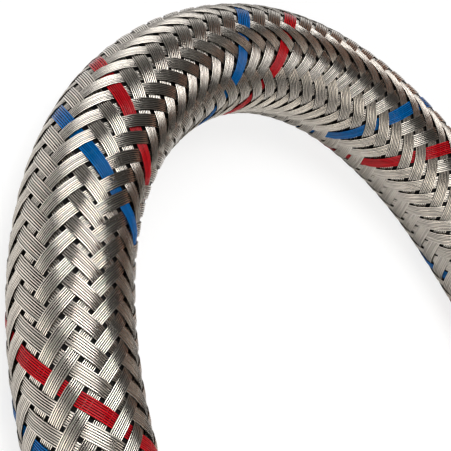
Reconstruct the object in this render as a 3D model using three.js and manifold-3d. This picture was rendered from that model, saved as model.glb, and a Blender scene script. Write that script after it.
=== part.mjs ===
// A 300 mm flexible hose connector: a rubber hose in a woven steel braid, bent in an arch, with a union nut
// on each end. It lies on its nuts and on the hose. Millimetres, +Z up. The origin is on the floor, midway
// between the two end fittings, which both point towards -Y.

import * as THREE from "three";
import { mergeVertices } from "three/addons/utils/BufferGeometryUtils.js";
import Module from "manifold-3d";

const wasm = await Module();
wasm.setup();

// Gap between pieces that touch or turn on each other.
const clearance = 0.3;

// Rubber inner tube.
const tubeBore = 8;
const tubeWall = 1.15;
const tubeSides = 12;
const tubeSteps = 36;

// Woven sleeve. Each plait runs over two and under two plaits of the other direction.
const plaitPairs = 6;
const braidLead = 33.2;
const braidWall = 0.36;
const braidDepth = 0.5;
const braidTurn = 17.6;
const firstCrossing = 1.8;
const bluePlait = 8;
const redPlait = 11;

// Crimped ferrule.
const ferruleLength = 20;
const ferruleWall = 0.8;
const ferruleLip = 0.9;
const crimpRings = 3;
const crimpWidth = 2;
const crimpDepth = 0.35;
const mouthFlare = 0.25;

// Nipple.
const stemInset = 1.2;
const stemWall = 0.4;
const barbHeight = 0.3;
const barbCount = 4;
const flangeWidth = 0.8;
const flangeStep = 0.15;
const grooveDepth = 1.2;
const neckStep = 0.1;
const collarWidth = 2;
const boreChamfer = 0.4;

// Union nut, with a 1/2 inch pipe thread.
const threadMajor = 20.96;
const threadDepth = 1.16;
const nutWall = 1.52;
const nutLength = 14.8;
const nutBack = 3;
const nutGap = 1.2;
const undercutWidth = 2.6;
const chamferRise = 0.3;
const chamferSlope = Math.tan(THREE.MathUtils.degToRad(30));
const threadChamfer = 0.8;

// Sealing washer.
const washerThickness = 2;
const washerBore = 10;

const turnFacets = 24;

// Route of the hose between the two ferrules: place across, distance in front of the ferrule mouths, and
// height as a share of the drop from the nuts' axis to the floor.
const route = [
  [-43.0, 0.0, 1.0],
  [-43.0, 9.1, 1.0],
  [-43.0, 18.5, 0.89],
  [-43.0, 27.9, 0.61],
  [-43.0, 37.3, 0.28],
  [-42.8, 46.7, 0.07],
  [-41.5, 56.0, 0.01],
  [-38.7, 65.0, 0.0],
  [-34.2, 73.3, 0.0],
  [-28.0, 80.3, 0.0],
  [-20.2, 85.6, 0.0],
  [-11.4, 88.9, 0.0],
  [-2.1, 90.2, 0.0],
  [7.2, 89.5, 0.0],
  [16.2, 86.6, 0.0],
  [24.2, 81.7, 0.0],
  [30.9, 75.1, 0.0],
  [36.1, 67.3, 0.0],
  [39.6, 58.6, 0.01],
  [41.8, 49.4, 0.09],
  [42.7, 40.0, 0.31],
  [43.0, 30.6, 0.61],
  [43.0, 21.2, 0.87],
  [43.0, 11.8, 1.0],
  [43.0, 0.0, 1.0],
];

// Radii, from the bore outwards. A faceted bore is opened so that its flats, too, clear what is inside.
const flatShare = Math.cos(Math.PI / turnFacets);
const tubeInner = tubeBore / 2 / Math.cos(Math.PI / tubeSides);
const tubeOuter = tubeInner + tubeWall;
const sleeveColumns = 4 * plaitPairs;
const braidInner = (tubeOuter + clearance) / Math.cos(Math.PI / sleeveColumns);
const braidGap = braidInner + braidWall;
const braidOuter = braidGap + braidDepth;
const ferruleInner = (braidOuter + clearance) / flatShare;
const ferruleOuter = ferruleInner + ferruleWall;
const stemOuter = tubeBore / 2 - clearance;
const stemRoot = stemOuter - barbHeight;
const nippleBore = stemRoot - stemWall;
const flangeRadius = braidOuter - flangeStep;
const grooveRadius = flangeRadius - grooveDepth;
const neckRadius = flangeRadius - neckStep;
const lipRadius = (grooveRadius + clearance) / flatShare;
const nutHole = (flangeRadius + clearance) / flatShare;
const threadMinor = threadMajor / 2 - threadDepth;
const collarRadius = threadMinor - 2 * clearance;
const washerOuter = threadMinor * flatShare - clearance;
const undercutRadius = threadMajor / 2;
const nutAcrossFlats = threadMajor + 2 * nutWall;

// Distances along a fitting, from the ferrule's mouth outwards.
const lipStart = ferruleLength - ferruleLip;
const flangeEnd = lipStart - clearance;
const flangeStart = flangeEnd - flangeWidth;
const hoseEnd = flangeStart - clearance;
const neckStart = ferruleLength + clearance;
const nutStart = ferruleLength + nutGap;
const nutSeat = nutStart + nutBack;
const nutEnd = nutStart + nutLength;
const collarStart = nutSeat + clearance;
const collarEnd = collarStart + collarWidth;
const washerStart = collarEnd + clearance;

// Frame of the whole part.
const mouthY = nutEnd / 2;
const axisHeight = nutAcrossFlats / 2;
const hoseLow = braidOuter;
const crossingStep = braidLead / sleeveColumns;

function material(color, roughness, metalness) {
  return new THREE.MeshStandardMaterial({ color, roughness, metalness });
}

const rubber = () => material(0x1c1b1a, 0.85, 0);
const nickel = () => material(0xc9c4b8, 0.25, 1);
const stainless = () => material(0xb7b2a8, 0.35, 1);

function piece(name, geometry, finish) {
  const mesh = new THREE.Mesh(geometry, finish);
  mesh.name = name;
  return mesh;
}

// A turned ring. The profile goes along the outside from the ferrule's mouth outwards, and back inside.
function turned(profile) {
  const points = profile.map(([along, radius]) => new THREE.Vector2(radius, mouthY - along));
  points.push(points[0].clone());
  return new THREE.LatheGeometry(points.reverse(), turnFacets);
}

function toSolid(geometry) {
  const bare = geometry.clone();
  bare.deleteAttribute("normal");
  bare.deleteAttribute("uv");
  const merged = mergeVertices(bare);
  return new wasm.Manifold(
    new wasm.Mesh({
      numProp: 3,
      vertProperties: merged.attributes.position.array,
      triVerts: merged.index.array,
    }),
  );
}

function toGeometry(solid) {
  const result = solid.getMesh();
  const geometry = new THREE.BufferGeometry();
  geometry.setAttribute("position", new THREE.BufferAttribute(result.vertProperties, 3));
  geometry.setIndex(new THREE.BufferAttribute(result.triVerts, 1));
  geometry.computeVertexNormals();
  return geometry;
}

// Centreline of the hose, from its end in one ferrule to its end in the other.
function hosePath() {
  const points = route.map(
    ([across, forward, rise]) =>
      new THREE.Vector3(across, mouthY + forward, hoseLow + rise * (axisHeight - hoseLow)),
  );
  const first = points[0].clone();
  const last = points[points.length - 1].clone();
  first.y -= hoseEnd;
  last.y -= hoseEnd;
  const path = new THREE.CatmullRomCurve3([first, ...points, last], false, "catmullrom");
  path.arcLengthDivisions = 3000;
  return path;
}

function circle(shape, radius, sides) {
  for (let side = 0; side < sides; side += 1) {
    const angle = (2 * Math.PI * side) / sides;
    const corner = [radius * Math.cos(angle), radius * Math.sin(angle)];
    if (side === 0) {
      shape.moveTo(...corner);
    } else {
      shape.lineTo(...corner);
    }
  }
  shape.closePath();
  return shape;
}

function innerTube(path) {
  const section = circle(new THREE.Shape(), tubeOuter, tubeSides);
  section.holes.push(circle(new THREE.Path(), tubeInner, tubeSides));
  const geometry = new THREE.ExtrudeGeometry(section, {
    steps: tubeSteps,
    bevelEnabled: false,
    extrudePath: path,
  });
  return piece("inner_tube", geometry, rubber());
}

// A point on a round section of the hose. Angle 0 is level, on the outside of the arch.
function pointOnHose(path, length, along, angle, radius) {
  const share = THREE.MathUtils.clamp(along / length, 0, 1);
  const ahead = path.getTangentAt(share);
  const outward = new THREE.Vector3(0, 0, 1).cross(ahead).normalize();
  const upward = new THREE.Vector3().crossVectors(ahead, outward);
  return path
    .getPointAt(share)
    .addScaledVector(outward, radius * Math.cos(angle))
    .addScaledVector(upward, radius * Math.sin(angle));
}

// Distances along the hose of the rings of corners on the outside of the sleeve. The crossings of the
// plaits lie on every ring but the first and last, which are the sleeve's ends inside the ferrules.
function sleeveRings(length) {
  const start = hoseEnd - firstCrossing;
  const crossings = Math.floor((length - 2 * start) / crossingStep) + 1;
  const rings = [{ along: 0, relief: false }];
  for (let ring = 0; ring < crossings; ring += 1) {
    rings.push({ along: start + ring * crossingStep, relief: true });
  }
  rings.push({ along: length, relief: false });
  return rings;
}

// Colour of the plait that is on top at a crossing. One direction of plaits is on top in columns 0 and 1 of
// every four, the other in columns 2 and 3, and the coloured plaits belong to the second.
function plaitColor(column, ring) {
  const steel = new THREE.Color(0xb4afa5);
  if (column % 4 < 2) {
    return steel;
  }
  const count = 2 * plaitPairs;
  const plait = (((column + ring) / 2) % count + count) % count;
  if (plait === bluePlait % count) {
    return new THREE.Color(0x0b55a4);
  }
  return plait === redPlait % count ? new THREE.Color(0xc5222b) : steel;
}

// The woven sleeve as one wall. A crossing of two plaits stands high, and the gap between four plaits is
// low. The ridge of a plait joins its two crossings on top, so the ridges slant one way in one column and
// the other way two columns further on.
function wovenSleeve(path) {
  const length = path.getLength();
  const rings = sleeveRings(length);
  const positions = [];
  const colors = [];
  const angleOf = (column) => THREE.MathUtils.degToRad(braidTurn) + (2 * Math.PI * column) / sleeveColumns;
  const isHigh = (column, ring) => (column + ring) % 2 === 0;

  const outside = rings.map(({ along, relief }, index) =>
    Array.from({ length: sleeveColumns }, (unused, column) => {
      const ring = index - 1;
      const plain = braidGap + braidDepth / 2;
      const radius = relief ? (isHigh(column, ring + 2) ? braidOuter : braidGap) : plain;
      return pointOnHose(path, length, along, angleOf(column), radius);
    }),
  );
  const inside = Array.from({ length: tubeSteps + 1 }, (unused, step) =>
    Array.from({ length: sleeveColumns }, (skipped, column) =>
      pointOnHose(path, length, (length * step) / tubeSteps, angleOf(column), braidInner),
    ),
  );

  function triangle(a, b, c, color) {
    for (const corner of [a, b, c]) {
      positions.push(corner.x, corner.y, corner.z);
      colors.push(color.r, color.g, color.b);
    }
  }

  // Outside wall.
  for (let index = 0; index + 1 < rings.length; index += 1) {
    const ring = index + 1;
    for (let column = 0; column < sleeveColumns; column += 1) {
      const next = (column + 1) % sleeveColumns;
      const a = outside[index][column];
      const b = outside[index][next];
      const c = outside[index + 1][next];
      const d = outside[index + 1][column];
      const highA = isHigh(column, ring);
      const slant = column % 4;
      const cutFromA = slant === 0 || (slant !== 2 && !highA);
      const colorOf = (corners) => plaitColor(...corners.find(([col, row]) => isHigh(col, row)));
      const cornerA = [column, ring - 2];
      const cornerB = [column + 1, ring - 2];
      const cornerC = [column + 1, ring - 1];
      const cornerD = [column, ring - 1];
      if (cutFromA) {
        triangle(a, b, c, colorOf([cornerA, cornerB, cornerC]));
        triangle(a, c, d, colorOf([cornerA, cornerC, cornerD]));
      } else {
        triangle(a, b, d, colorOf([cornerA, cornerB, cornerD]));
        triangle(b, c, d, colorOf([cornerB, cornerC, cornerD]));
      }
    }
  }

  // Inside wall.
  const plainSteel = plaitColor(0, 0);
  for (let step = 0; step < tubeSteps; step += 1) {
    for (let column = 0; column < sleeveColumns; column += 1) {
      const next = (column + 1) % sleeveColumns;
      triangle(inside[step][column], inside[step + 1][next], inside[step][next], plainSteel);
      triangle(inside[step][column], inside[step + 1][column], inside[step + 1][next], plainSteel);
    }
  }

  // Ends.
  const lastRing = rings.length - 1;
  for (let column = 0; column < sleeveColumns; column += 1) {
    const next = (column + 1) % sleeveColumns;
    triangle(inside[0][column], outside[0][next], outside[0][column], plainSteel);
    triangle(inside[0][column], inside[0][next], outside[0][next], plainSteel);
    triangle(inside[tubeSteps][column], outside[lastRing][column], outside[lastRing][next], plainSteel);
    triangle(inside[tubeSteps][column], outside[lastRing][next], inside[tubeSteps][next], plainSteel);
  }

  const geometry = new THREE.BufferGeometry();
  geometry.setAttribute("position", new THREE.Float32BufferAttribute(positions, 3));
  geometry.setAttribute("color", new THREE.Float32BufferAttribute(colors, 3));
  geometry.computeVertexNormals();
  const finish = material(0xffffff, 0.35, 0.6);
  finish.vertexColors = true;
  return piece("braid", geometry, finish);
}

// Stainless sleeve over the hose end, with a flared mouth, crimped rings and a lip behind the flange.
function ferrule(name) {
  const outside = [
    [0, ferruleOuter + mouthFlare],
    [4 * mouthFlare, ferruleOuter],
  ];
  const pitch = lipStart / (crimpRings + 1);
  for (let ring = 1; ring <= crimpRings; ring += 1) {
    const middle = ring * pitch;
    outside.push([middle - crimpWidth / 2, ferruleOuter]);
    outside.push([middle - crimpWidth / 4, ferruleOuter - crimpDepth]);
    outside.push([middle + crimpWidth / 4, ferruleOuter - crimpDepth]);
    outside.push([middle + crimpWidth / 2, ferruleOuter]);
  }
  outside.push([ferruleLength - ferruleLip / 2, ferruleOuter]);
  outside.push([ferruleLength, ferruleOuter - ferruleLip / 2]);
  const inside = [
    [ferruleLength, lipRadius],
    [lipStart, lipRadius],
    [lipStart, ferruleInner],
    [0, ferruleInner],
  ];
  return piece(name, turned([...outside, ...inside]), stainless());
}

// Insert with a barbed stem inside the hose, a flange that the hose end stops at, a groove for the
// ferrule's lip, a neck that the nut turns on and a collar that the nut pulls on.
function nipple(name) {
  const barbPitch = (flangeStart - stemInset) / barbCount;
  const outside = [[stemInset, stemRoot]];
  for (let barb = 1; barb <= barbCount; barb += 1) {
    const edge = stemInset + barb * barbPitch;
    outside.push([edge - barbHeight, stemOuter]);
    outside.push([edge, barb < barbCount ? stemRoot : stemOuter]);
  }
  outside.push([flangeStart, flangeRadius]);
  outside.push([flangeEnd, flangeRadius]);
  outside.push([flangeEnd, grooveRadius]);
  outside.push([neckStart, grooveRadius]);
  outside.push([neckStart, neckRadius]);
  outside.push([collarStart, neckRadius]);
  outside.push([collarStart, collarRadius]);
  outside.push([collarEnd, collarRadius]);
  const inside = [
    [collarEnd, nippleBore + boreChamfer],
    [collarEnd - boreChamfer, nippleBore],
    [stemInset, nippleBore],
  ];
  return piece(name, turned([...outside, ...inside]), nickel());
}

function hexagonBar() {
  const corner = nutAcrossFlats / 2 / Math.cos(Math.PI / 6);
  const section = circle(new THREE.Shape(), corner, 6);
  const bar = new THREE.ExtrudeGeometry(section, { depth: nutLength, bevelEnabled: false });
  bar.rotateX(-Math.PI / 2);
  bar.translate(0, mouthY - nutEnd, 0);
  return toSolid(bar);
}

// Union nut: a hexagon with both ends chamfered, a hole for the neck, and a socket with the thread's minor
// diameter and an undercut at the seat.
function nut(name) {
  const cornerRadius = nutAcrossFlats / 2 / Math.cos(Math.PI / 6);
  const faceRadius = nutAcrossFlats / 2 - chamferRise;
  const chamferLength = (cornerRadius - faceRadius) * chamferSlope;
  const barrel = toSolid(
    turned([
      [nutStart, 0],
      [nutStart, faceRadius],
      [nutStart + 2 * chamferLength, cornerRadius + (cornerRadius - faceRadius)],
      [nutEnd - 2 * chamferLength, cornerRadius + (cornerRadius - faceRadius)],
      [nutEnd, faceRadius],
      [nutEnd, 0],
    ]),
  );
  const over = 1;
  const bore = toSolid(
    turned([
      [nutStart - over, 0],
      [nutStart - over, nutHole],
      [nutSeat, nutHole],
      [nutSeat, undercutRadius],
      [nutSeat + undercutWidth, undercutRadius],
      [nutSeat + undercutWidth, threadMinor],
      [nutEnd - threadChamfer, threadMinor],
      [nutEnd + over, threadMinor + threadChamfer + over],
      [nutEnd + over, 0],
    ]),
  );
  const solid = hexagonBar().intersect(barrel).subtract(bore);
  return piece(name, toGeometry(solid), nickel());
}

function washer(name) {
  const geometry = turned([
    [washerStart, washerOuter],
    [washerStart + washerThickness, washerOuter],
    [washerStart + washerThickness, washerBore / 2],
    [washerStart, washerBore / 2],
  ]);
  return piece(name, geometry, rubber());
}

function fitting(end, across) {
  const group = new THREE.Group();
  group.position.set(across, 0, axisHeight);
  group.add(ferrule(`${end}_ferrule`));
  group.add(nipple(`${end}_nipple`));
  group.add(nut(`${end}_nut`));
  group.add(washer(`${end}_washer`));
  return group;
}

const connector = new THREE.Group();
const path = hosePath();
connector.add(innerTube(path));
connector.add(wovenSleeve(path));
connector.add(fitting("inlet", route[0][0]));
connector.add(fitting("outlet", route[route.length - 1][0]));

export default connector;
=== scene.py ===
"""A flexible hose connector: a rubber hose in a braid of stainless wire, with a crimped ferrule, an insert,
a union nut and a sealing washer on each end. Laid out as an add-on and run as a script."""

import math

import bpy
import numpy as np
from mathutils import Matrix, Vector


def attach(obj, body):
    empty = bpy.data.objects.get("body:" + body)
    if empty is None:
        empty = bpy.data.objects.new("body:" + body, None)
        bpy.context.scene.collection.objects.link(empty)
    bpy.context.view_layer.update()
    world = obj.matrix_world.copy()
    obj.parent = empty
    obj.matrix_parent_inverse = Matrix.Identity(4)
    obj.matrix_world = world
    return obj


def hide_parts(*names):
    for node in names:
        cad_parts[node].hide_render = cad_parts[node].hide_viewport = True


bl_info = {
    "name": "Flexible hose connector",
    "version": (1, 0, 0),
    "blender": (4, 5, 0),
    "location": "View3D > Sidebar > Hose",
    "description": "Builds a braided hose connector with its fittings around the packed frame",
    "category": "Add Mesh",
}

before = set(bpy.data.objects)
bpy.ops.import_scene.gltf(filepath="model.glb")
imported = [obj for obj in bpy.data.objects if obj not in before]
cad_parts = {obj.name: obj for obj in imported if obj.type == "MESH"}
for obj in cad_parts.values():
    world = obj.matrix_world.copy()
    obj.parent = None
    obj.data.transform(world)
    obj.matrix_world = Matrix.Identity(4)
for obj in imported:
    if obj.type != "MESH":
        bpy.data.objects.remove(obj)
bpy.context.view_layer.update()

MM = 0.001

# The hose's middle line from the mouth of one ferrule to that of the other, in metres.
ROUTE = [
    (-0.0430, 0.0180, 0.012000), (-0.0430, 0.0271, 0.012000), (-0.0430, 0.0365, 0.011395),
    (-0.0430, 0.0459, 0.009855), (-0.0430, 0.0553, 0.008040), (-0.0428, 0.0647, 0.006885),
    (-0.0415, 0.0740, 0.006555), (-0.0387, 0.0830, 0.006500), (-0.0342, 0.0913, 0.006500),
    (-0.0280, 0.0983, 0.006500), (-0.0202, 0.1036, 0.006500), (-0.0114, 0.1069, 0.006500),
    (-0.0021, 0.1082, 0.006500), (0.0072, 0.1075, 0.006500), (0.0162, 0.1046, 0.006500),
    (0.0242, 0.0997, 0.006500), (0.0309, 0.0931, 0.006500), (0.0361, 0.0853, 0.006500),
    (0.0396, 0.0766, 0.006555), (0.0418, 0.0674, 0.006995), (0.0427, 0.0580, 0.008205),
    (0.0430, 0.0486, 0.009855), (0.0430, 0.0392, 0.011285), (0.0430, 0.0298, 0.012000),
    (0.0430, 0.0180, 0.012000),
]
INSIDE = 0.0177  # how far the hose goes into each ferrule
AXIS_X = 0.043  # the fittings' axes lie at this X on both sides,
AXIS_Z = 0.012  # at this height
MOUTH_Y = 0.018  # and each ferrule's mouth is here
NUT_FRONT = -0.018

CROSSINGS = 189  # rows of the weave from one end of the hose to the other
FIRST_ROW = -11.0
WANDER = 0.22  # how far a wire strays in its plait, in wire spacings
CROWN = 0.0002  # how far a plait falls off a whole pitch from its middle
UNEVEN = 0.00004  # how far neighbouring wires differ in height
# In the arch the plaits turn round the hose and slip along it, as the photograph shows.
ARCH_FROM, ARCH_TO = 0.045, 0.225  # along the middle line
ARCH_EASE = 0.03  # length over which it sets in
ARCH_TURN = 0.148  # radians
ARCH_LEAN = math.radians(37.3)  # from here round the hose
ARCH_SLIP = 0.0008

FOCAL_PX = 1762.97  # the lens, fitted to the photograph
PHOTO_PX = 451


def linear(code):
    """An sRGB hex colour as the linear RGBA that Blender works in."""
    parts = [int(code[i : i + 2], 16) / 255 for i in (1, 3, 5)]
    return [c / 12.92 if c <= 0.04045 else ((c + 0.055) / 1.055) ** 2.4 for c in parts] + [1.0]


def add(tree, kind, inputs=None, **settings):
    """Adds a node, sets its properties, and gives or links its inputs. Returns the node."""
    made = tree.nodes.new(kind)
    for name, value in settings.items():
        setattr(made, name, value)
    for key, value in (inputs or {}).items():
        if isinstance(value, bpy.types.NodeSocket):
            tree.links.new(value, made.inputs[key])
        else:
            made.inputs[key].default_value = value
    return made


# ---- The sizes and colours that a user would change


class HoseSizes(bpy.types.PropertyGroup):
    wire: bpy.props.FloatProperty(
        name="Wire", description="Thickness of one braid wire", default=0.00022, precision=5,
        unit="LENGTH", subtype="DISTANCE")
    wires: bpy.props.IntProperty(name="Wires", description="Wires side by side in a plait", default=7, min=3, max=16)
    plaits: bpy.props.IntProperty(name="Plaits", description="Plaits in each direction", default=12, min=4, max=24)
    lead: bpy.props.FloatProperty(
        name="Lead", description="Length of hose in which a plait goes round once", default=0.0332, precision=4,
        unit="LENGTH", subtype="DISTANCE")
    start: bpy.props.FloatProperty(
        name="First crossing", description="Path distance of the first crossing", default=0.01629, precision=5,
        unit="LENGTH", subtype="DISTANCE")
    turn: bpy.props.FloatProperty(
        name="Turn", description="How far the braid is turned on the hose", default=math.radians(21.97),
        unit="ROTATION", subtype="ANGLE")
    cover: bpy.props.FloatProperty(
        name="Cover", description="Share of a plait's pitch that lies between neighbouring wires", default=0.11,
        subtype="FACTOR", precision=4)
    middle: bpy.props.FloatProperty(
        name="Braid radius", description="Radius halfway between the upper and the lower plaits", default=0.006235,
        precision=6, unit="LENGTH", subtype="DISTANCE")
    lift: bpy.props.FloatProperty(
        name="Lift", description="How far a plait rises over another, and dips under it", default=0.00015,
        precision=5, unit="LENGTH", subtype="DISTANCE")
    liner: bpy.props.FloatProperty(
        name="Hose radius", description="Outer radius of the rubber hose", default=0.00598, precision=5,
        unit="LENGTH", subtype="DISTANCE")
    wall: bpy.props.FloatProperty(
        name="Hose wall", description="Wall of the rubber hose", default=0.00184, precision=5,
        unit="LENGTH", subtype="DISTANCE")


class FittingSizes(bpy.types.PropertyGroup):
    flats: bpy.props.FloatProperty(
        name="Across flats", description="Hexagon of the union nut", default=0.024, precision=4,
        unit="LENGTH", subtype="DISTANCE")
    nut_length: bpy.props.FloatProperty(
        name="Nut length", description="Length of the union nut", default=0.0148, precision=4,
        unit="LENGTH", subtype="DISTANCE")
    thread_pitch: bpy.props.FloatProperty(
        name="Thread pitch", description="Pitch of the half inch pipe thread", default=0.001814, precision=6,
        unit="LENGTH", subtype="DISTANCE")
    crimp: bpy.props.FloatProperty(
        name="Crimp", description="Depth of the ferrule's crimped rings", default=0.00035, precision=5,
        unit="LENGTH", subtype="DISTANCE")


class FinishColours(bpy.types.PropertyGroup):
    steel: bpy.props.FloatVectorProperty(
        name="Steel wire", description="Colour of the bare stainless wire", default=linear("#e6dfd5"),
        size=4, min=0, max=1, subtype="COLOR")
    blue: bpy.props.FloatVectorProperty(
        name="Blue filament", description="Colour of the blue marking plait", default=linear("#0062aa"),
        size=4, min=0, max=1, subtype="COLOR")
    red: bpy.props.FloatVectorProperty(
        name="Red filament", description="Colour of the red marking plait", default=linear("#bd131e"),
        size=4, min=0, max=1, subtype="COLOR")
    rubber: bpy.props.FloatVectorProperty(
        name="Rubber", description="Colour of the hose and the washers", default=linear("#090909"),
        size=4, min=0, max=1, subtype="COLOR")
    nickel: bpy.props.FloatVectorProperty(
        name="Nickel", description="Colour of the plated brass", default=linear("#d3cec2"),
        size=4, min=0, max=1, subtype="COLOR")


# ---- Materials


def new_material(name):
    """An empty node material with its shader and output. Returns the material, its tree and the shader node."""
    made = bpy.data.materials.new(name)
    made.use_nodes = True
    tree = made.node_tree
    tree.nodes.clear()
    shader = add(tree, "ShaderNodeBsdfPrincipled")
    add(tree, "ShaderNodeOutputMaterial", {"Surface": shader.outputs[0]})
    return made, tree, shader


def shade(code, factor):
    """A colour a little darker or lighter than another."""
    return [min(1.0, c * factor) for c in code[:3]] + [1.0]


def painted_groove_shade(tree, colour, dark):
    """A plait's colour with painted shade in the grooves between its wires."""
    # wire_side is -1 to 1 across a wire
    side = add(tree, "ShaderNodeAttribute", attribute_name="wire_side").outputs["Fac"]
    away = add(tree, "ShaderNodeMath", {0: side}, operation="ABSOLUTE")
    # painted shade: the ramp darkens each wire towards its sides, darkest where it meets its neighbours
    groove = add(tree, "ShaderNodeValToRGB", {"Fac": away.outputs[0]})
    groove.color_ramp.elements[0].position = 0.45
    groove.color_ramp.elements[0].color = (1.0, 1.0, 1.0, 1.0)
    groove.color_ramp.elements[1].position = 0.76
    groove.color_ramp.elements[1].color = linear(dark)
    darkened = add(tree, "ShaderNodeVectorMath", {0: colour, 1: groove.outputs["Color"]}, operation="MULTIPLY")
    return darkened.outputs[0]


def stainless_wire(colour):
    """Bright drawn stainless wire: mirror-like, a little streaked along its length, each wire its own tone."""
    made, tree, shader = new_material("bright_drawn_stainless_wire")
    place = add(tree, "ShaderNodeTexCoord").outputs["Object"]
    tone = add(tree, "ShaderNodeAttribute", attribute_name="wire_tone").outputs["Fac"]
    # drawn finish that dulls in patches about 3 mm long
    patches = add(tree, "ShaderNodeTexNoise", {"Vector": place, "Scale": 330.0, "Detail": 3.0, "Roughness": 0.6})
    both = add(tree, "ShaderNodeMath", {0: tone, 1: patches.outputs["Fac"]}, operation="ADD")
    mix = add(tree, "ShaderNodeValToRGB", {"Fac": add(
        tree, "ShaderNodeMath", {0: both.outputs[0], 1: 0.5}, operation="MULTIPLY").outputs[0]})
    mix.color_ramp.elements[0].position = 0.3
    mix.color_ramp.elements[0].color = shade(colour, 0.78)
    mix.color_ramp.elements[1].position = 0.7
    mix.color_ramp.elements[1].color = shade(colour, 1.04)
    rough = add(tree, "ShaderNodeMapRange", {
        "Value": both.outputs[0], "From Min": 0.5, "From Max": 1.5, "To Min": 0.30, "To Max": 0.20})
    # rub marks about 0.06 mm apart
    marks = add(tree, "ShaderNodeTexNoise", {"Vector": place, "Scale": 9000.0, "Detail": 2.0})
    bump = add(tree, "ShaderNodeBump", {"Height": marks.outputs["Fac"], "Strength": 0.02, "Distance": 0.00001})
    # painted shade between the steel wires, #1a1512 at the wire sides
    tree.links.new(painted_groove_shade(tree, mix.outputs["Color"], "#1a1512"), shader.inputs["Base Color"])
    tree.links.new(rough.outputs["Result"], shader.inputs["Roughness"])
    tree.links.new(bump.outputs[0], shader.inputs["Normal"])
    shader.inputs["Metallic"].default_value = 1.0
    return made


def plastic_filament(name, colour):
    """Extruded polyester filament: a strong clear colour under a thin glossy skin."""
    made, tree, shader = new_material(name)
    place = add(tree, "ShaderNodeTexCoord").outputs["Object"]
    tone = add(tree, "ShaderNodeAttribute", attribute_name="wire_tone").outputs["Fac"]
    cloud = add(tree, "ShaderNodeTexNoise", {"Vector": place, "Scale": 500.0, "Detail": 2.0})
    both = add(tree, "ShaderNodeMath", {0: tone, 1: cloud.outputs["Fac"]}, operation="ADD")
    mix = add(tree, "ShaderNodeValToRGB", {"Fac": add(
        tree, "ShaderNodeMath", {0: both.outputs[0], 1: 0.5}, operation="MULTIPLY").outputs[0]})
    mix.color_ramp.elements[0].position = 0.25
    mix.color_ramp.elements[0].color = shade(colour, 0.8)
    mix.color_ramp.elements[1].position = 0.75
    mix.color_ramp.elements[1].color = shade(colour, 1.12)
    # painted shade between the filaments, #4a4646 at the filament sides
    tree.links.new(painted_groove_shade(tree, mix.outputs["Color"], "#4a4646"), shader.inputs["Base Color"])
    rough = add(tree, "ShaderNodeMapRange", {"Value": cloud.outputs["Fac"], "To Min": 0.12, "To Max": 0.20})
    tree.links.new(rough.outputs["Result"], shader.inputs["Roughness"])
    shader.inputs["Specular IOR Level"].default_value = 0.2
    return made


def epdm_rubber(colour):
    """Extruded EPDM rubber: near black, dull, with talc haze and a fine pitted skin."""
    made, tree, shader = new_material("extruded_epdm_rubber")
    place = add(tree, "ShaderNodeTexCoord").outputs["Object"]
    haze = add(tree, "ShaderNodeTexNoise", {"Vector": place, "Scale": 260.0, "Detail": 4.0, "Roughness": 0.65})
    mix = add(tree, "ShaderNodeValToRGB", {"Fac": haze.outputs["Fac"]})
    mix.color_ramp.elements[0].position = 0.35
    mix.color_ramp.elements[0].color = colour[:]
    mix.color_ramp.elements[1].position = 0.75
    mix.color_ramp.elements[1].color = shade([c + 0.006 for c in colour[:3]], 1.4)
    pits = add(tree, "ShaderNodeTexNoise", {"Vector": place, "Scale": 7000.0, "Detail": 2.0})
    bump = add(tree, "ShaderNodeBump", {"Height": pits.outputs["Fac"], "Strength": 0.25, "Distance": 0.00003})
    rough = add(tree, "ShaderNodeMapRange", {"Value": haze.outputs["Fac"], "To Min": 0.5, "To Max": 0.72})
    shader.inputs["Specular IOR Level"].default_value = 0.16
    tree.links.new(mix.outputs["Color"], shader.inputs["Base Color"])
    tree.links.new(rough.outputs["Result"], shader.inputs["Roughness"])
    tree.links.new(bump.outputs[0], shader.inputs["Normal"])
    return made


def turned_metal(name, colour, axis_x, smooth, rough, groove):
    """Metal turned on a lathe: fine rings round the fitting's axis, and a soft cloudiness of the surface."""
    made, tree, shader = new_material(name)
    place = add(tree, "ShaderNodeTexCoord").outputs["Object"]
    centred = add(tree, "ShaderNodeMapping", {
        "Vector": place, "Location": (-axis_x, 0.0, -AXIS_Z)}).outputs[0]
    # tool marks: rings across the axis and along it, from the distance to it and the height on it
    parts = add(tree, "ShaderNodeSeparateXYZ", {0: centred})
    flat = add(tree, "ShaderNodeCombineXYZ", {"X": parts.outputs["X"], "Y": parts.outputs["Z"]})
    away = add(tree, "ShaderNodeVectorMath", {0: flat.outputs[0]}, operation="LENGTH")
    along = add(tree, "ShaderNodeMath", {0: parts.outputs["Y"], 1: away.outputs["Value"]}, operation="ADD")
    rings = add(tree, "ShaderNodeTexNoise", {
        "W": along.outputs[0], "Scale": groove, "Detail": 3.0, "Roughness": 0.7}, noise_dimensions="1D")
    cloud = add(tree, "ShaderNodeTexNoise", {"Vector": place, "Scale": 240.0, "Detail": 4.0, "Roughness": 0.6})
    mix = add(tree, "ShaderNodeValToRGB", {"Fac": cloud.outputs["Fac"]})
    mix.color_ramp.elements[0].position = 0.3
    mix.color_ramp.elements[0].color = shade(colour, 0.84)
    mix.color_ramp.elements[1].position = 0.7
    mix.color_ramp.elements[1].color = shade(colour, 1.03)
    spread = add(tree, "ShaderNodeMapRange", {
        "Value": cloud.outputs["Fac"], "From Min": 0.3, "From Max": 0.7, "To Min": smooth, "To Max": rough})
    bump = add(tree, "ShaderNodeBump", {"Height": rings.outputs["Fac"], "Strength": 0.12, "Distance": 0.00002})
    tree.links.new(mix.outputs["Color"], shader.inputs["Base Color"])
    tree.links.new(spread.outputs["Result"], shader.inputs["Roughness"])
    tree.links.new(bump.outputs[0], shader.inputs["Normal"])
    shader.inputs["Metallic"].default_value = 1.0
    return made


# ---- Meshes


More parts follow.
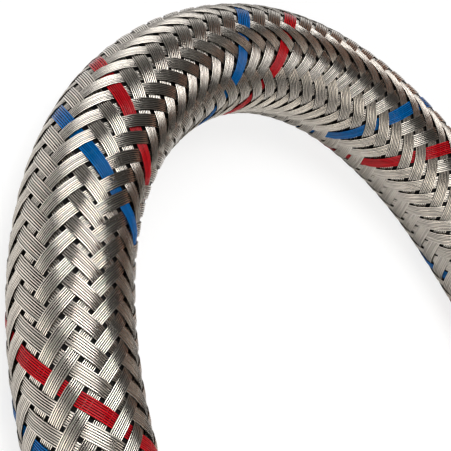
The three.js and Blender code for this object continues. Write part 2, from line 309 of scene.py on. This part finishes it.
def middle_line(per_span=26):
    """Points on the hose's middle line, from its end in one ferrule to its end in the other."""
    ends = [Vector(ROUTE[0]) - Vector((0, INSIDE, 0)), Vector(ROUTE[-1]) - Vector((0, INSIDE, 0))]
    points = [ends[0]] + [Vector(p) for p in ROUTE] + [ends[1]]
    points = [2 * points[0] - points[1]] + points + [2 * points[-1] - points[-2]]
    line = []
    for a, b, c, d in zip(points, points[1:], points[2:], points[3:]):
        for step in range(per_span):
            t = step / per_span
            line.append(0.5 * (2 * b + (c - a) * t + (2 * a - 5 * b + 4 * c - d) * t * t
                               + (3 * b - a - 3 * c + d) * t * t * t))
    line.append(points[-2].copy())
    return line


def path_object():
    """The middle line as a curve that the node trees sample."""
    line = middle_line()
    curve = bpy.data.curves.new("hose_line", "CURVE")
    curve.dimensions = "3D"
    spline = curve.splines.new("POLY")
    spline.points.add(len(line) - 1)
    spline.points.foreach_set("co", [c for p in line for c in (*p, 1.0)])
    made = bpy.data.objects.new("hose_line", curve)
    bpy.context.scene.collection.objects.link(made)
    return made


def new_tree(name, sockets):
    """A geometry node tree with named inputs. Returns the tree and its group input node."""
    tree = bpy.data.node_groups.new(name, "GeometryNodeTree")
    tree.interface.new_socket("Geometry", in_out="OUTPUT", socket_type="NodeSocketGeometry")
    for label, kind in sockets:
        tree.interface.new_socket(label, in_out="INPUT", socket_type=kind)
    return tree, add(tree, "NodeGroupInput")


def on_the_hose(tree, line, distance, angle, radius):
    """Nodes that give the place of a point from its distance along the hose, angle round it and radius."""
    here = add(tree, "GeometryNodeSampleCurve", {"Curves": line, "Length": distance}, mode="LENGTH")
    position, tangent = here.outputs["Position"], here.outputs["Tangent"]
    out = add(tree, "ShaderNodeVectorMath", {0: (0.0, 0.0, 1.0), 1: tangent}, operation="CROSS_PRODUCT")
    out = add(tree, "ShaderNodeVectorMath", {0: out.outputs[0]}, operation="NORMALIZE").outputs[0]
    up = add(tree, "ShaderNodeVectorMath", {0: tangent, 1: out}, operation="CROSS_PRODUCT")
    up = add(tree, "ShaderNodeVectorMath", {0: up.outputs[0]}, operation="NORMALIZE").outputs[0]
    for side, kind in ((out, "COSINE"), (up, "SINE")):
        share = add(tree, "ShaderNodeMath", {0: angle}, operation=kind)
        reach = add(tree, "ShaderNodeMath", {0: share.outputs[0], 1: radius}, operation="MULTIPLY")
        moved = add(tree, "ShaderNodeVectorMath", {0: side, "Scale": reach.outputs[0]}, operation="SCALE")
        position = add(tree, "ShaderNodeVectorMath", {0: position, 1: moved.outputs[0]}).outputs[0]
    return position


def plait_tree():
    """The rule of the braid: wires side by side in each plait, over two and under two of the other direction."""
    tree, given = new_tree("Braided plaits", [
        ("Path", "NodeSocketObject"), ("Material", "NodeSocketMaterial"), ("Direction", "NodeSocketFloat"),
        ("First plait", "NodeSocketInt"), ("Plaits", "NodeSocketInt"), ("Wires", "NodeSocketInt"),
        ("Wire radius", "NodeSocketFloat"), ("Wire spacing", "NodeSocketFloat"), ("Crossings", "NodeSocketInt"),
        ("First row", "NodeSocketFloat"), ("Row length", "NodeSocketFloat"), ("Start", "NodeSocketFloat"),
        ("Turn", "NodeSocketFloat"), ("Column angle", "NodeSocketFloat"), ("Radius", "NodeSocketFloat"),
        ("Lift", "NodeSocketFloat"), ("Seed", "NodeSocketFloat")])
    g = given.outputs
    line = add(tree, "GeometryNodeObjectInfo", {"Object": g["Path"]}, transform_space="ORIGINAL").outputs["Geometry"]
    count = add(tree, "ShaderNodeMath", {0: g["Plaits"], 1: g["Wires"]}, operation="MULTIPLY").outputs[0]
    steps = add(tree, "ShaderNodeMath", {0: g["Crossings"], 1: 2.0}, operation="MULTIPLY").outputs[0]
    wire = add(tree, "GeometryNodeMeshCylinder", {
        "Vertices": 6, "Side Segments": steps, "Radius": 1.0, "Depth": g["Crossings"]}, fill_type="NGON")
    row = add(tree, "GeometryNodeMeshLine", {"Count": count})
    many = add(tree, "GeometryNodeInstanceOnPoints", {"Points": row.outputs[0], "Instance": wire.outputs["Mesh"]})
    # one number for each wire, kept on its vertices, and the place on the straight wire
    index = add(tree, "GeometryNodeInputIndex").outputs[0]
    numbered = add(tree, "GeometryNodeStoreNamedAttribute", {
        "Geometry": many.outputs[0], "Name": "wire_number", "Value": index}, data_type="FLOAT", domain="INSTANCE")
    flat = add(tree, "GeometryNodeTranslateInstances", {
        "Instances": numbered.outputs[0], "Translation": add(tree, "ShaderNodeVectorMath", {
            0: add(tree, "GeometryNodeInputPosition").outputs[0], "Scale": -1.0}, operation="SCALE").outputs[0]})
    flat.inputs["Local Space"].default_value = False
    real = add(tree, "GeometryNodeRealizeInstances", {0: flat.outputs[0]}).outputs[0]
    number = add(tree, "GeometryNodeInputNamedAttribute", {"Name": "wire_number"}, data_type="FLOAT").outputs[0]
    place = add(tree, "ShaderNodeSeparateXYZ", {0: add(tree, "GeometryNodeInputPosition").outputs[0]}).outputs
    sided = add(tree, "GeometryNodeStoreNamedAttribute", {
        "Geometry": real, "Name": "wire_side", "Value": place["X"]}, data_type="FLOAT", domain="POINT").outputs[0]
    wander = add(tree, "ShaderNodeTexNoise", {"Vector": add(tree, "ShaderNodeCombineXYZ", {
        "X": add(tree, "ShaderNodeMath", {0: number, 1: 3.37}, operation="MULTIPLY").outputs[0],
        "Y": add(tree, "ShaderNodeMath", {0: place["Z"], 1: 0.45}, operation="MULTIPLY").outputs[0],
        "Z": g["Seed"]}).outputs[0], "Scale": 1.0, "Detail": 1.0})
    drift = add(tree, "ShaderNodeSeparateXYZ", {0: wander.outputs["Color"]}).outputs
    value = {
        "number": number, "x": place["X"], "y": place["Y"], "z": place["Z"], "wires": g["Wires"],
        "first": g["First plait"], "direction": g["Direction"], "spacing": g["Wire spacing"],
        "crossings": g["Crossings"], "row0": g["First row"], "row length": g["Row length"], "start": g["Start"],
        "turn": g["Turn"], "column": g["Column angle"], "radius": g["Radius"], "lift": g["Lift"],
        "wire radius": g["Wire radius"], "drift a": drift["X"], "drift b": drift["Y"]}
    for name, operation, *terms in (
        # which plait, and which wire of it, counted from its middle
        ("share", "DIVIDE", "number", "wires"),
        ("whole", "FLOOR", "share"),
        ("in plait", "MULTIPLY", "whole", "wires"),
        ("in plait", "SUBTRACT", "number", "in plait"),
        ("last", "SUBTRACT", "wires", 1.0),
        ("half", "MULTIPLY", "last", 0.5),
        ("from middle", "SUBTRACT", "in plait", "half"),
        ("plait", "ADD", "whole", "first"),
        # wires wander a little in their plait
        ("aside", "SUBTRACT", "drift a", 0.5),
        ("from middle", "MULTIPLY_ADD", "aside", WANDER, "from middle"),
        ("off", "MULTIPLY", "from middle", "spacing"),
        # rows along the wire, and the weave: over two, under two
        ("half length", "MULTIPLY", "crossings", 0.5),
        ("row", "ADD", "z", "half length"),
        ("row", "ADD", "row", "row0"),
        ("run", "MULTIPLY", "row", "direction"),
        ("weave", "MULTIPLY_ADD", "plait", 2.0, "run"),
        ("column number", "ADD", "weave", "off"),
        ("sideways", "MULTIPLY", "off", "direction"),
        ("row number", "SUBTRACT", "row", "sideways"),
        ("phase", "SUBTRACT", "weave", 0.5),
        ("phase", "MULTIPLY", "phase", math.pi / 2),
        ("wave", "COSINE", "phase"),
        ("wave", "MULTIPLY", "wave", 1.15),
        ("wave", "MINIMUM", "wave", 1.0),
        ("wave", "MAXIMUM", "wave", -1.0),
        ("square", "MULTIPLY", "wave", "wave"),
        ("square", "MULTIPLY_ADD", "square", -0.5, 1.5),
        ("wave", "MULTIPLY", "wave", "square"),
        ("wave", "MULTIPLY", "wave", "direction"),
        ("height", "MULTIPLY_ADD", "wave", "lift", "radius"),
        # a plait is a little crowned, and its wires lie at slightly different heights
        ("edge", "MULTIPLY", "off", "off"),
        ("height", "MULTIPLY_ADD", "edge", -CROWN, "height"),
        ("above", "SUBTRACT", "drift b", 0.5),
        ("height", "MULTIPLY_ADD", "above", UNEVEN, "height"),
        ("height", "MULTIPLY_ADD", "y", "wire radius", "height"),
        # the ring of a wire lies square to it, which is at the braid's angle to the hose
        ("across", "MULTIPLY", "x", "wire radius"),
        ("column width", "MULTIPLY", "column", "radius"),
        ("slope", "ARCTAN2", "column width", "row length"),
        ("slope sine", "SINE", "slope"),
        ("slope cosine", "COSINE", "slope"),
        ("over", "MULTIPLY", "across", "slope cosine"),
        ("over", "DIVIDE", "over", "radius"),
        ("back", "MULTIPLY", "across", "slope sine"),
        ("back", "MULTIPLY", "back", "direction"),
        ("angle", "MULTIPLY_ADD", "column number", "column", "turn"),
        ("angle", "ADD", "angle", "over"),
        ("distance", "MULTIPLY_ADD", "row number", "row length", "start"),
        ("distance", "SUBTRACT", "distance", "back"),
        # in the arch the plaits crowd towards the outside and are pulled back there
        ("in", "SUBTRACT", "distance", ARCH_FROM),
        ("in", "DIVIDE", "in", ARCH_EASE),
        ("in", "MINIMUM", "in", 1.0),
        ("in", "MAXIMUM", "in", 0.0),
        ("out", "SUBTRACT", ARCH_TO, "distance"),
        ("out", "DIVIDE", "out", ARCH_EASE),
        ("out", "MINIMUM", "out", 1.0),
        ("out", "MAXIMUM", "out", 0.0),
        ("bent", "MULTIPLY", "in", "out"),
        ("outer", "COSINE", "angle"),
        ("outer", "MULTIPLY", "outer", "bent"),
        ("lean", "ADD", "angle", ARCH_LEAN),
        ("lean", "COSINE", "lean"),
        ("lean", "MULTIPLY", "lean", "bent"),
        ("angle", "MULTIPLY_ADD", "lean", ARCH_TURN, "angle"),
        ("distance", "MULTIPLY_ADD", "outer", -ARCH_SLIP, "distance"),
    ):
        sockets = {i: value.get(term, term) for i, term in enumerate(terms)}
        value[name] = add(tree, "ShaderNodeMath", sockets, operation=operation).outputs[0]
    position = on_the_hose(tree, line, value["distance"], value["angle"], value["height"])
    laid = add(tree, "GeometryNodeSetPosition", {"Geometry": sided, "Position": position}).outputs[0]
    tone = add(tree, "FunctionNodeRandomValue", {"ID": add(
        tree, "ShaderNodeMath", {0: number, 1: 0.5}, operation="ADD").outputs[0], "Seed": 7}, data_type="FLOAT")
    toned = add(tree, "GeometryNodeStoreNamedAttribute", {
        "Geometry": laid, "Name": "wire_tone", "Value": tone.outputs["Value"]}, data_type="FLOAT", domain="POINT")
    whole = add(tree, "GeometryNodeRealizeInstances", {0: toned.outputs[0]})
    finished = add(tree, "GeometryNodeSetMaterial", {0: whole.outputs[0], "Material": g["Material"]})
    add(tree, "NodeGroupOutput", {0: finished.outputs[0]})
    return tree


def tube_tree():
    """The rubber hose: a round skin along the path, which gets its wall afterwards."""
    tree, given = new_tree("Rubber hose", [
        ("Path", "NodeSocketObject"), ("Material", "NodeSocketMaterial"), ("Radius", "NodeSocketFloat"),
        ("Length", "NodeSocketFloat"), ("Sides", "NodeSocketInt"), ("Steps", "NodeSocketInt")])
    g = given.outputs
    line = add(tree, "GeometryNodeObjectInfo", {"Object": g["Path"]}, transform_space="ORIGINAL").outputs["Geometry"]
    skin = add(tree, "GeometryNodeMeshCylinder", {
        "Vertices": g["Sides"], "Side Segments": g["Steps"], "Radius": 1.0, "Depth": g["Length"]}, fill_type="NONE")
    place = add(tree, "ShaderNodeSeparateXYZ", {0: add(tree, "GeometryNodeInputPosition").outputs[0]}).outputs
    angle = add(tree, "ShaderNodeMath", {0: place["Y"], 1: place["X"]}, operation="ARCTAN2").outputs[0]
    half = add(tree, "ShaderNodeMath", {0: g["Length"], 1: 0.5}, operation="MULTIPLY").outputs[0]
    distance = add(tree, "ShaderNodeMath", {0: place["Z"], 1: half}, operation="ADD").outputs[0]
    position = on_the_hose(tree, line, distance, angle, g["Radius"])
    laid = add(tree, "GeometryNodeSetPosition", {"Geometry": skin.outputs["Mesh"], "Position": position})
    whole = add(tree, "GeometryNodeRealizeInstances", {0: laid.outputs[0]})
    finished = add(tree, "GeometryNodeSetMaterial", {0: whole.outputs[0], "Material": g["Material"]})
    add(tree, "NodeGroupOutput", {0: finished.outputs[0]})
    return tree


def grown(name, tree, values):
    """Runs a node tree with its inputs set, and returns the result as an object with a plain mesh."""
    host = bpy.data.objects.new(name + "_host", bpy.data.meshes.new(name + "_host"))
    bpy.context.scene.collection.objects.link(host)
    modifier = host.modifiers.new("grow", "NODES")
    modifier.node_group = tree
    sockets = {s.name: s.identifier for s in tree.interface.items_tree if s.in_out == "INPUT"}
    for label, value in values.items():
        modifier[sockets[label]] = value
    bpy.context.view_layer.update()
    depsgraph = bpy.context.evaluated_depsgraph_get()
    mesh = bpy.data.meshes.new_from_object(host.evaluated_get(depsgraph), depsgraph=depsgraph)
    if len(mesh.polygons) == 0:
        raise RuntimeError(name + " came out empty")
    mesh.name = name
    bpy.data.objects.remove(host)
    return placed(name, mesh)


def placed(name, mesh, material=None, sharp=None):
    """Puts a mesh in the scene as an object at the origin, shaded smooth up to the sharp angle."""
    if material:
        mesh.materials.clear()
        mesh.materials.append(material)
    mesh.shade_smooth()
    if sharp is not None:
        mesh.set_sharp_from_angle(angle=math.radians(sharp))
    made = bpy.data.objects.new(name, mesh)
    bpy.context.scene.collection.objects.link(made)
    return made


def ring_body(name, rings, axis_x, material, sharp=28):
    """A closed body of revolution from columns of (radius, y) points: rings[k] is the section at angle k.
    Sections run round clockwise as seen with the axis to the left and y down, so that faces point out."""
    columns, rows = len(rings), len(rings[0])
    points = []
    for k, section in enumerate(rings):
        turn = 2 * math.pi * k / columns
        for radius, y in section:
            points.append((axis_x + radius * math.cos(turn), y, AXIS_Z + radius * math.sin(turn)))
    faces = []
    for k in range(columns):
        for i in range(rows):
            a, b = k * rows + i, k * rows + (i + 1) % rows
            c, d = (k + 1) % columns * rows + (i + 1) % rows, (k + 1) % columns * rows + i
            faces.append((a, b, c, d))
    mesh = bpy.data.meshes.new(name)
    mesh.from_pydata(points, [], faces)
    mesh.validate()
    mesh.update()
    made = placed(name, mesh, material, sharp)
    outwards(made)
    return made


def outwards(piece):
    """Turns a closed body's faces outwards where its volume comes out negative."""
    mesh = piece.data
    mesh.calc_loop_triangles()
    count = len(mesh.loop_triangles)
    corners = np.empty(count * 3, dtype=np.int32)
    mesh.loop_triangles.foreach_get("vertices", corners)
    place = np.empty(len(mesh.vertices) * 3)
    mesh.vertices.foreach_get("co", place)
    a, b, c = (place.reshape(-1, 3)[corners.reshape(-1, 3)[:, i]] for i in range(3))
    if np.einsum("ij,ij->i", a, np.cross(b, c)).sum() < 0:
        mesh.flip_normals()


def rounded(corners, size, steps=3):
    """A closed section with each corner (radius, y, share) rounded by share of size."""
    out = []
    for before, here, after in zip(corners[-1:] + corners[:-1], corners, corners[1:] + corners[:1]):
        p = Vector(here[:2])
        a, b = Vector(before[:2]) - p, Vector(after[:2]) - p
        cut = min(size * here[2], 0.45 * a.length, 0.45 * b.length)
        if cut <= 0:
            out.append((p.x, p.y))
            continue
        start, end = p + a.normalized() * cut, p + b.normalized() * cut
        for k in range(steps):
            t = k / (steps - 1)
            q = start.lerp(p, t).lerp(p.lerp(end, t), t)
            out.append((q.x, q.y))
    return out


def finish_piece(piece, body, slot, *nodes):
    """Tells the frame what a piece rides on and which solids it stands for; the finish given in slot is not used."""
    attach(piece, body)
    if nodes:
        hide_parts(*nodes)


ENDS = (("inlet", -AXIS_X), ("outlet", AXIS_X))


# ---- Operators, one for each piece or group of like pieces, and one for the stage


class HOSE_OT_stage(bpy.types.Operator):
    """Sets the camera at the photograph's view, and a white floor under soft studio light"""

    bl_idname = "hose.stage"
    bl_label = "Stage"

    def execute(self, context):
        scene = context.scene
        scene.view_settings.view_transform = "Standard"
        lens = bpy.data.cameras.new("camera")
        lens.sensor_width = 36.0
        lens.lens = FOCAL_PX * lens.sensor_width / PHOTO_PX
        lens.clip_start = 0.005
        lens.clip_end = 20.0
        camera = bpy.data.objects.new("camera", lens)
        # fitted to the outline and to the red and blue plaits in the photograph
        camera.matrix_world = Matrix((
            (0.58257, 0.19493, -0.78906, -0.164105),
            (-0.36040, 0.93211, -0.03582, 0.082527),
            (0.72851, 0.30525, 0.61328, 0.127154),
            (0.0, 0.0, 0.0, 1.0)))
        scene.collection.objects.link(camera)
        scene.camera = camera

        mesh = bpy.data.meshes.new("floor")
        mesh.from_pydata([(-6, -6, 0), (6, -6, 0), (6, 6, 0), (-6, 6, 0)], [], [(0, 1, 2, 3)])
        floor = bpy.data.objects.new("floor", mesh)
        scene.collection.objects.link(floor)
        white = bpy.data.materials.new("white_studio_floor")
        white.use_nodes = True
        tree = white.node_tree
        tree.nodes.clear()
        path = add(tree, "ShaderNodeLightPath").outputs
        seen = add(tree, "ShaderNodeMath", {0: path["Is Camera Ray"], 1: path["Is Glossy Ray"]}, operation="MAXIMUM")
        seen = add(tree, "ShaderNodeMath", {0: seen.outputs[0], 1: path["Is Transmission Ray"]}, operation="MAXIMUM")
        # the metal sees a little of that white; the rest is the floor as it is lit
        metal = add(tree, "ShaderNodeMath", {0: seen.outputs[0], 1: 0.06}, operation="MULTIPLY")
        share = add(tree, "ShaderNodeMath", {
            0: path["Is Camera Ray"], 1: 0.7, 2: metal.outputs[0]}, operation="MULTIPLY_ADD")
        plain = add(tree, "ShaderNodeBsdfDiffuse", {"Color": linear("#f4f4f4")})
        glow = add(tree, "ShaderNodeEmission", {"Color": linear("#ffffff"), "Strength": 1.06})
        both = add(tree, "ShaderNodeMixShader", {
            0: share.outputs[0], 1: plain.outputs[0], 2: glow.outputs[0]})
        add(tree, "ShaderNodeOutputMaterial", {"Surface": both.outputs[0]})
        mesh.materials.append(white)

        world = bpy.data.worlds.new("studio")
        scene.world = world
        world.use_nodes = True
        tree = world.node_tree
        tree.nodes.clear()
        path = add(tree, "ShaderNodeLightPath").outputs
        seen = add(tree, "ShaderNodeMath", {
            0: path["Is Glossy Ray"], 1: path["Is Transmission Ray"]}, operation="MAXIMUM")
        share = add(tree, "ShaderNodeMath", {
            0: seen.outputs[0], 1: 0.04, 2: path["Is Camera Ray"]}, operation="MULTIPLY_ADD")
        dim = add(tree, "ShaderNodeBackground", {"Color": linear("#b5aba2"), "Strength": 0.05})
        bright = add(tree, "ShaderNodeBackground", {"Color": linear("#ffffff"), "Strength": 1.0})
        both = add(tree, "ShaderNodeMixShader", {0: share.outputs[0], 1: dim.outputs[0], 2: bright.outputs[0]})
        add(tree, "ShaderNodeOutputWorld", {"Surface": both.outputs[0]})

        # name, azimuth from +X towards +Y, elevation, distance, width, power, tint
        for name, azimuth, rise, away, size, power, tint in (
            ("overhead_softbox", 110, 60, 0.62, 0.46, 4.0, "#ffffff"),
            ("front_softbox", 182, 7, 0.62, 0.42, 1.7, "#fff8f1"),
            ("low_side_softbox", 225, 8, 0.62, 0.38, 0.8, "#fffaf2"),
            ("side_softbox", 255, 31, 0.62, 0.44, 1.4, "#fffaf2"),
            ("warm_side_card", 8, 9, 0.60, 0.34, 0.15, "#ffae80"),
        ):
            lamp = bpy.data.lights.new(name, "AREA")
            lamp.shape = "SQUARE"
            lamp.size = size
            lamp.energy = power
            lamp.color = linear(tint)[:3]
            made = bpy.data.objects.new(name, lamp)
            a, e = math.radians(azimuth), math.radians(rise)
            towards = Vector((math.cos(a) * math.cos(e), math.sin(a) * math.cos(e), math.sin(e)))
            made.location = Vector((0.0, 0.06, 0.01)) + away * towards
            made.rotation_euler = (-towards).to_track_quat("-Z", "Y").to_euler()
            made.visible_camera = False
            scene.collection.objects.link(made)
        return {"FINISHED"}


class HOSE_OT_liner(bpy.types.Operator):
    """Builds the black rubber hose along its route"""

    bl_idname = "hose.liner"
    bl_label = "Rubber hose"

    def execute(self, context):
        sizes, colours = context.scene.hose_sizes, context.scene.hose_colours
        line = path_object()
        length = sum((b - a).length for a, b in zip(middle_line(), middle_line()[1:]))
        liner = grown("rubber_hose", tube_tree(), {
            "Path": line, "Material": epdm_rubber(list(colours.rubber)), "Radius": sizes.liner,
            "Length": length, "Sides": 40, "Steps": 200})
        wall = liner.modifiers.new("wall", "SOLIDIFY")
        wall.thickness = sizes.wall
        wall.offset = -1.0
        finish_piece(liner, "hose", "epdm_rubber", "inner_tube")
        return {"FINISHED"}


class HOSE_OT_braid(bpy.types.Operator):
    """Weaves the sleeve: twelve plaits each way round, over two and under two, one of them blue and one red"""

    bl_idname = "hose.braid"
    bl_label = "Braid"

    def execute(self, context):
        sizes, colours = context.scene.hose_sizes, context.scene.hose_colours
        steel = stainless_wire(list(colours.steel))
        blue = plastic_filament("blue_polyester_filament", list(colours.blue))
        red = plastic_filament("red_polyester_filament", list(colours.red))
        tree = plait_tree()
        line = bpy.data.objects["hose_line"]
        half, split = sizes.plaits // 2, 5
        red_at = sizes.plaits - 1
        blue_at = red_at - 3
        for name, direction, first, count, material in (
            ("steel_plaits_right_a", 1.0, 0, half, steel),
            ("steel_plaits_right_b", 1.0, half, sizes.plaits - half, steel),
            ("steel_plaits_left_a", -1.0, 0, split, steel),
            ("steel_plaits_left_b", -1.0, split, blue_at - split, steel),
            ("blue_plait", -1.0, blue_at, 1, blue),
            ("steel_plaits_left_c", -1.0, blue_at + 1, red_at - blue_at - 1, steel),
            ("red_plait", -1.0, red_at, 1, red),
        ):
            piece = grown(name, tree, {
                "Path": line, "Material": material, "Direction": direction, "First plait": first,
                "Plaits": count, "Wires": sizes.wires, "Wire radius": sizes.wire / 2,
                "Wire spacing": sizes.cover, "Crossings": CROSSINGS, "First row": FIRST_ROW,
                "Row length": sizes.lead / (2 * sizes.plaits), "Start": sizes.start, "Turn": sizes.turn,
                "Column angle": math.pi / sizes.plaits, "Radius": sizes.middle, "Lift": sizes.lift,
                "Seed": 1.7 + first + 0.5 * direction})
            outwards(piece)
            finish_piece(piece, "hose", "stainless_braid", "braid")
        bpy.data.objects.remove(line)
        return {"FINISHED"}


class HOSE_OT_ferrules(bpy.types.Operator):
    """Makes the crimped stainless sleeves, with the marks of the crimping jaws"""

    bl_idname = "hose.ferrules"
    bl_label = "Ferrules"

    def execute(self, context):
        crimp = context.scene.hose_fittings.crimp
        outer, inner, length = 0.007659, 0.006859, 0.0201
        neck, end_wall = 0.0060, 0.0191
        columns, rows, jaws = 128, 100, 8
        for end, axis_x in ENDS:
            finish = turned_metal("polished_stainless_sleeve_" + end, linear("#cfd0d0"), axis_x, 0.16, 0.26, 9000.0)
            rings = []
            for k in range(columns):
                # metal that came up between two of the crimping jaws
                turn = k / columns * jaws
                seam = abs(turn - round(turn))
                ridge = max(0.0, 1 - seam / 0.06)
                section = []
                for i in range(rows + 1):
                    d = length * i / rows
                    dip = 0.0
                    for middle in (0.0042, 0.0100, 0.0158):
                        gap = abs(d - middle)
                        dip = max(dip, min(1.0, max(0.0, (0.00125 - gap) / 0.00035)))
                    dip = dip * dip * (3 - 2 * dip)
                    flare = 0.00025 * max(0.0, 1 - d / 0.0011) ** 2
                    edge = 0.00012 * max(0.0, 1 - d / 0.0002) + 0.00015 * max(0.0, 1 - (length - d) / 0.0003)
                    section.append((outer + flare - crimp * dip * (1 - 0.55 * ridge) - edge, MOUTH_Y - d))
                section += [(neck + 0.00015, MOUTH_Y - length), (neck, MOUTH_Y - length + 0.00005),
                            (neck, MOUTH_Y - end_wall - 0.0001), (inner, MOUTH_Y - end_wall),
                            (inner, MOUTH_Y - 0.0030), (inner + 0.0001, MOUTH_Y)]
                rings.append(section)
            piece = ring_body(end + "_crimped_sleeve", rings, axis_x, finish)
            finish_piece(piece, "hose", "stainless_sleeve", end + "_ferrule")
        return {"FINISHED"}


class HOSE_OT_inserts(bpy.types.Operator):
    """Turns the plated brass inserts, with their barbs, neck and collar"""

    bl_idname = "hose.inserts"
    bl_label = "Inserts"

    def execute(self, context):
        nickel = list(context.scene.hose_colours.nickel)
        for end, axis_x in ENDS:
            finish = turned_metal("nickel_plated_brass_" + end, nickel, axis_x, 0.14, 0.24, 12000.0)
            # radius and depth from the ferrule's mouth in millimetres, and the share of the corner's rounding
            corners = [(3.0, 1.2, 1), (3.55, 1.2, 1)]
            for barb in range(4):
                d = 3.2 + 3.4 * barb
                corners += [(3.7, d, 0.4), (3.4, d + 0.3, 0.4)]
            corners += [(3.7, 16.8, 0.4), (3.7, 17.9, 0.4), (5.2, 17.9, 0.6), (6.35, 18.0, 0.6), (6.35, 18.8, 0.6),
                        (5.15, 18.8, 0.4), (5.15, 20.35, 0.4), (6.25, 20.35, 0.6), (6.25, 24.5, 0.4),
                        (8.72, 24.5, 1), (8.72, 26.5, 1), (3.5, 26.5, 1), (3.0, 26.0, 0.6)]
            corners = [(r * MM, MOUTH_Y - d * MM, share) for r, d, share in corners]
            section = rounded(corners, 0.00022)
            piece = ring_body(end + "_insert", [section] * 96, axis_x, finish)
            finish_piece(piece, "hose", "nickel_plate", end + "_nipple")
        return {"FINISHED"}


class HOSE_OT_nuts(bpy.types.Operator):
    """Makes the union nuts: a chamfered hexagon with the pipe thread cut inside"""

    bl_idname = "hose.nuts"
    bl_label = "Union nuts"

    def execute(self, context):
        sizes = context.scene.hose_fittings
        nickel = list(context.scene.hose_colours.nickel)
        apothem = sizes.flats / 2
        front, back = NUT_FRONT, NUT_FRONT + sizes.nut_length
        flat = apothem - 0.0003
        slope = math.tan(math.radians(30))
        crest, groove, hole = 0.00932, 0.01048, 0.006707
        columns, rows = 168, 72
        low, high = back - 0.0056, front + 0.00012
        for end, axis_x in ENDS:
            finish = turned_metal("nickel_plated_nut_" + end, nickel, axis_x, 0.15, 0.27, 8000.0)
            rings = []
            for k in range(columns):
                turn = 2 * math.pi * k / columns
                # flats face up, down and to the slanting sides; the corners are slightly rounded
                reach = apothem / math.cos((turn + math.pi / 3) % (math.pi / 3) - math.pi / 6)
                reach = min(reach, apothem / math.cos(math.pi / 6) - 0.00018)
                drop = max(0.0, reach - flat) * slope
                section = [(0.01078, front + 0.00004), (0.01092, front)]
                section += [(flat, front), (flat + 0.00004, front + 0.00003)]
                section += [(reach - 0.00003, front + drop), (reach, front + drop + 0.00006)]
                section += [(reach, back - drop - 0.00006), (reach - 0.00003, back - drop)]
                section += [(flat + 0.00004, back - 0.00003), (flat, back)]
                section += [(0.00686, back), (hole, back - 0.00015), (hole, back - 0.0029),
                            (0.0069, back - 0.0030), (0.0103, back - 0.0030), (groove, back - 0.0032),
                            (groove, low)]
                for i in range(1, rows + 1):
                    y = low + (high - low) * i / rows
                    phase = (y / sizes.thread_pitch + turn / (2 * math.pi)) % 1.0
                    tooth = min(1.0, max(0.0, 1.5 - 3.0 * abs(phase - 0.5) - 0.25))
                    lead_in = 0.01072 - (y - front) * 1.4
                    section.append((max(groove - (groove - crest) * tooth, lead_in), y))
                rings.append(section)
            piece = ring_body(end + "_union_nut", rings, axis_x, finish, 32)
            finish_piece(piece, end + "_nut", "nickel_plate", end + "_nut")
        return {"FINISHED"}


class HOSE_OT_washers(bpy.types.Operator):
    """Makes the flat sealing washers"""

    bl_idname = "hose.washers"
    bl_label = "Washers"

    def execute(self, context):
        rubber = epdm_rubber(list(context.scene.hose_colours.rubber))
        for end, axis_x in ENDS:
            corners = [(5.0, 26.8, 1), (8.94, 26.8, 1), (8.94, 28.8, 1), (5.0, 28.8, 1)]
            section = rounded([(r * MM, MOUTH_Y - d * MM, s) for r, d, s in corners], 0.00025, 4)
            piece = ring_body(end + "_sealing_washer", [section] * 72, axis_x, rubber)
            finish_piece(piece, "hose", "epdm_rubber", end + "_washer")
        line = middle_line(8)
        return {"FINISHED"}


OPERATORS = (HOSE_OT_stage, HOSE_OT_liner, HOSE_OT_braid, HOSE_OT_ferrules, HOSE_OT_inserts, HOSE_OT_nuts,
             HOSE_OT_washers)


class HOSE_PT_panel(bpy.types.Panel):
    """Lists the sizes, the colours and the steps"""

    bl_idname = "HOSE_PT_panel"
    bl_label = "Flexible hose connector"
    bl_space_type = "VIEW_3D"
    bl_region_type = "UI"
    bl_category = "Hose"

    def draw(self, context):
        for group in (context.scene.hose_sizes, context.scene.hose_fittings, context.scene.hose_colours):
            box = self.layout.box()
            for name in group.__annotations__:
                box.prop(group, name)
        for operator in OPERATORS:
            self.layout.operator(operator.bl_idname)


CLASSES = (HoseSizes, FittingSizes, FinishColours) + OPERATORS + (HOSE_PT_panel,)


def register():
    for cls in CLASSES:
        bpy.utils.register_class(cls)
    bpy.types.Scene.hose_sizes = bpy.props.PointerProperty(type=HoseSizes)
    bpy.types.Scene.hose_fittings = bpy.props.PointerProperty(type=FittingSizes)
    bpy.types.Scene.hose_colours = bpy.props.PointerProperty(type=FinishColours)


def unregister():
    del bpy.types.Scene.hose_colours
    del bpy.types.Scene.hose_fittings
    del bpy.types.Scene.hose_sizes
    for cls in reversed(CLASSES):
        bpy.utils.unregister_class(cls)


def main():
    register()
    bpy.ops.hose.stage()
    bpy.ops.hose.liner()
    bpy.ops.hose.braid()
    bpy.ops.hose.ferrules()
    bpy.ops.hose.inserts()
    bpy.ops.hose.nuts()
    bpy.ops.hose.washers()


if __name__ == "__main__":
    main()
